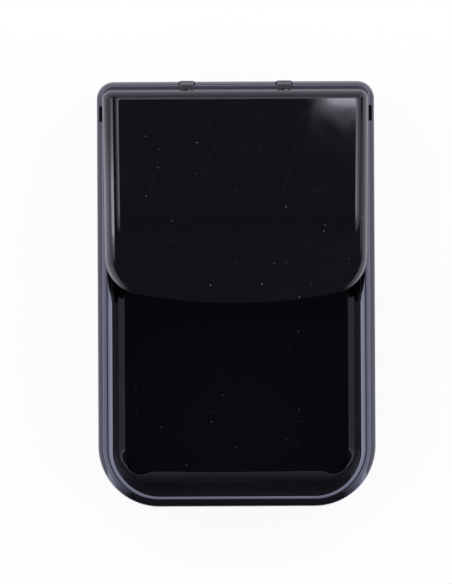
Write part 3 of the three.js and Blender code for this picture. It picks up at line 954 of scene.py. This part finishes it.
def gloss_black_abs(name, painted_reflection_tint):
    """Moulded gloss black ABS: a polished tool leaves a mirror skin, on which dust and wiping marks show."""
    material, output = new_material(name)
    place = add_node(material, "ShaderNodeTexCoord").outputs["Object"]
    facing = add_node(material, "ShaderNodeSeparateXYZ", {
        "Vector": add_node(material, "ShaderNodeNewGeometry").outputs["Normal"],
    })

    # Slow waves of a moulded wall, 18 mm long and a few micrometres high, bend the mirrored edges of a lamp
    waves = add_node(material, "ShaderNodeTexNoise", {"Vector": place, "Scale": 55.0, "Detail": 1.0})
    skin = add_node(material, "ShaderNodeBump", {
        "Height": waves.outputs["Fac"],
        "Strength": 1.0,
        "Distance": 0.01 * MM,
    })

    # Smears of handling, 10 to 30 mm long, leave a slightly hazier skin
    smears = add_node(material, "ShaderNodeTexNoise", {
        "Vector": place,
        "Scale": 70.0,
        "Detail": 4.0,
        "Distortion": 0.6,
    })
    haze = add_node(material, "ShaderNodeMapRange", {
        "Value": smears.outputs["Fac"],
        "From Min": 0.45,
        "From Max": 0.75,
        "To Min": 0.018,
        "To Max": 0.06,
    })
    worn = math_node(material, "MULTIPLY", scratch_marks(material, place), 0.014)
    pale = math_node(material, "MAXIMUM", dust_specks(material, place, facing), worn)
    shader = add_node(material, "ShaderNodeBsdfPrincipled", {
        "Base Color": blend(material, pale, linear("#09090c"), linear("#b9b6b0")),
        "Roughness": haze.outputs["Result"],
        "IOR": 1.54,
        # Reflection strength with painted shade in the well and a painted highlight low in the scoop
        "Specular IOR Level": painted_reflection_level(material, place, facing),
        # A painted bluish tint of the reflections
        "Specular Tint": linear(painted_reflection_tint),
        "Normal": skin.outputs["Normal"],
    })
    material.node_tree.links.new(shader.outputs["BSDF"], output.inputs["Surface"])
    return material


def grain(material, size, detail=2.0):
    """An even noise over a piece whose patches are about a size across, in millimetres."""
    place = add_node(material, "ShaderNodeTexCoord").outputs["Object"]
    scale = 1 / (size * MM)
    return add_node(material, "ShaderNodeTexNoise", {"Vector": place, "Scale": scale, "Detail": detail})


def surface(material, output, light, dark, patches, rough, bump, **more):
    """A surface whose colour runs between two shades over its patches, with its own roughness and bump."""
    shader = add_node(material, "ShaderNodeBsdfPrincipled", {
        "Base Color": blend(material, patches.outputs["Fac"], linear(dark), linear(light)),
        "Roughness": rough,
        "Normal": bump.outputs["Normal"],
        **more,
    })
    material.node_tree.links.new(shader.outputs["BSDF"], output.inputs["Surface"])
    return material


def spark_eroded_black_abs():
    """Black ABS from a spark-eroded tool: an even fine grain, dull to the eye, with paler rubbed patches."""
    material, output = new_material("spark_eroded_black_abs")
    # The grain of such a tool is 0.05 mm and too fine to show, so it's drawn 0.25 mm across
    skin = add_node(material, "ShaderNodeBump", {
        "Height": grain(material, 0.25).outputs["Fac"],
        "Strength": 0.6,
        "Distance": 0.03 * MM,
    })
    return surface(material, output, "#232325", "#121214", grain(material, 9.0), 0.52, skin)


def sintered_ferrite():
    """Pressed and sintered ferrite: dull dark grey ceramic with grinding marks and small pits."""
    material, output = new_material("sintered_ferrite")
    skin = add_node(material, "ShaderNodeBump", {
        "Height": grain(material, 0.4, 6.0).outputs["Fac"],
        "Strength": 0.8,
        "Distance": 0.05 * MM,
    })
    return surface(material, output, "#4a4746", "#2a2828", grain(material, 1.2, 5.0), 0.62, skin)


def moulded_black_rubber():
    """Moulded black rubber: matte, a little greyed where it has picked up dust from the desk."""
    material, output = new_material("moulded_black_rubber")
    skin = add_node(material, "ShaderNodeBump", {
        "Height": grain(material, 0.3).outputs["Fac"],
        "Strength": 0.5,
        "Distance": 0.02 * MM,
    })
    return surface(material, output, "#2c2b2a", "#141414", grain(material, 2.2, 4.0), 0.78, skin)


def zinc_plated_steel():
    """Zinc-plated steel: bright, slightly bluish metal with a cloudy, uneven shine."""
    material, output = new_material("zinc_plated_steel")
    skin = add_node(material, "ShaderNodeBump", {
        "Height": grain(material, 0.35, 4.0).outputs["Fac"],
        "Strength": 0.4,
        "Distance": 0.01 * MM,
    })
    rough = add_node(material, "ShaderNodeMapRange", {
        "Value": grain(material, 0.9, 3.0).outputs["Fac"],
        "To Min": 0.2,
        "To Max": 0.42,
    })
    patches = grain(material, 1.5)
    shine = rough.outputs["Result"]
    return surface(material, output, "#c6cad2", "#a3a6ad", patches, shine, skin, Metallic=1.0)


# Stage

def white_table():
    """White paint on the table, on which the object's shadow stays faint.

    From below it's clear, so that the underside can be looked at.
    """
    material, output = new_material("white_table")
    paint = add_node(material, "ShaderNodeBsdfDiffuse", {"Color": linear("#f8f8f9")})
    backdrop = add_node(material, "ShaderNodeEmission", {"Color": linear("#ffffff"), "Strength": 1.0})
    rays = add_node(material, "ShaderNodeLightPath")
    seen = add_node(material, "ShaderNodeMixShader", {
        "Fac": math_node(material, "MULTIPLY", rays.outputs["Is Camera Ray"], BACKDROP_SHARE),
        1: paint.outputs["BSDF"],
        2: backdrop.outputs["Emission"],
    })
    clear = add_node(material, "ShaderNodeMixShader", {
        "Fac": add_node(material, "ShaderNodeNewGeometry").outputs["Backfacing"],
        1: seen.outputs["Shader"],
        2: add_node(material, "ShaderNodeBsdfTransparent").outputs["BSDF"],
    })
    material.node_tree.links.new(clear.outputs["Shader"], output.inputs["Surface"])
    return material


def build_floor():
    """A plain white table, a hair below the feet."""
    bm = bmesh.new()
    bmesh.ops.create_grid(bm, x_segments=1, y_segments=1, size=FLOOR_HALF_WIDTH)
    mesh = bpy.data.meshes.new("floor")
    bm.to_mesh(mesh)
    bm.free()
    floor = bpy.data.objects.new("floor", mesh)
    bpy.context.collection.objects.link(floor)
    mesh.materials.append(white_table())
    floor.location.z = -2 * HAIR * MM


def add_soft_box(name, place, target, size, power, colour="#ffffff"):
    """A rectangular soft box that faces a target."""
    data = bpy.data.lights.new(name, "AREA")
    data.shape = "RECTANGLE"
    data.size, data.size_y = size
    data.energy = power
    data.color = linear(colour)[:3]
    light = bpy.data.objects.new(name, data)
    light.location = place
    light.rotation_euler = (Vector(target) - Vector(place)).to_track_quat("-Z", "Y").to_euler()
    bpy.context.collection.objects.link(light)


def build_world():
    """A light tent: bright low on the sides, a little less behind, dark in front and straight overhead."""
    world = bpy.data.worlds.new("light_tent")
    bpy.context.scene.world = world
    world.use_nodes = True
    world.node_tree.nodes.clear()
    output = add_node(world, "ShaderNodeOutputWorld")
    direction = add_node(world, "ShaderNodeTexCoord").outputs["Generated"]
    split = add_node(world, "ShaderNodeSeparateXYZ", {"Vector": direction})
    elevation = math_node(world, "ARCSINE", split.outputs["Z"])
    height = math_node(world, "DIVIDE", elevation, QUARTER)
    up = add_node(world, "ShaderNodeValToRGB", {"Fac": height})
    set_stops(up, [(degrees / 90, level) for degrees, level in TENT_UP])
    bearing = math_node(world, "ARCTAN2", split.outputs["Y"], split.outputs["X"])
    turn = add_node(world, "ShaderNodeMapRange", {
        "Value": bearing,
        "From Min": -2 * QUARTER,
        "From Max": 2 * QUARTER,
    })
    around = add_node(world, "ShaderNodeValToRGB", {"Fac": turn.outputs["Result"]})
    set_stops(around, [((degrees + 180) / 360, level) for degrees, level in TENT_ROUND])
    level = math_node(world, "MULTIPLY", up.outputs["Color"], around.outputs["Color"])
    level = math_node(world, "MAXIMUM", level, TENT_LEAST)
    tent = add_node(world, "ShaderNodeBackground", {"Color": linear("#eeeefa"), "Strength": level})
    backdrop = add_node(world, "ShaderNodeBackground", {"Color": linear("#ffffff"), "Strength": 1.0})
    rays = add_node(world, "ShaderNodeLightPath")
    seen = add_node(world, "ShaderNodeMixShader", {
        "Fac": rays.outputs["Is Camera Ray"],
        1: tent.outputs["Background"],
        2: backdrop.outputs["Background"],
    })
    world.node_tree.links.new(seen.outputs["Shader"], output.inputs["Surface"])


def build_camera():
    """A long lens straight above the object, framed as the photograph is."""
    frame_height = 0.14705
    distance = 1.2
    rim_plane = 0.023
    data = bpy.data.cameras.new("camera")
    data.sensor_width = 36
    data.lens = data.sensor_width * distance / frame_height
    camera = bpy.data.objects.new("camera", data)
    camera.location = (-0.0026, 0.0005, rim_plane + distance)
    camera.rotation_euler = (0, 0, math.radians(-0.27))
    bpy.context.collection.objects.link(camera)
    bpy.context.scene.camera = camera


def box_mm(node):
    """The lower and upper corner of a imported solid's box, in millimetres."""
    return [place / MM for place in map(Vector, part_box(node))]


# Assembly

# The body's and the lid's copies differ only in the painted tint of their reflections: bluer and dimmer on
# the body
body_black = gloss_black_abs("moulded_gloss_black_abs_of_body", "#dfe2fb")
lid_black = gloss_black_abs("moulded_gloss_black_abs_of_lid", "#f6f5fb")
make_piece("body_moulding", build_body(), body_black, "base", ["body_shell"])
make_piece("lid_moulding", build_lid(), lid_black, "lid", ["lid"])

rubber = moulded_black_rubber()
zinc = zinc_plated_steel()
for corner in ("front_left", "front_right", "rear_left", "rear_right"):
    foot_node = "foot_" + corner
    foot = build_foot(*box_mm(foot_node))
    make_piece("rubber_foot_" + corner, foot, rubber, "base", [foot_node])
    screw_node = "base_screw_" + corner
    screw = build_screw(*box_mm(screw_node))
    make_piece("cross_screw_" + corner, screw, zinc, "base", [screw_node])
for node, finish in (("base_plate", spark_eroded_black_abs()), ("clip_magnet", sintered_ferrite())):
    frame["nodes"][node].data.materials.clear()
    frame["nodes"][node].data.materials.append(finish)

build_floor()
build_world()
add_soft_box("rear_right_soft_box", (0.137, 0.152, 1.5), (0.137, 0.152, 0), (0.167, 0.096), 0.3, "#f2f2ff")
build_camera()
bpy.context.scene.view_settings.view_transform = "Standard"
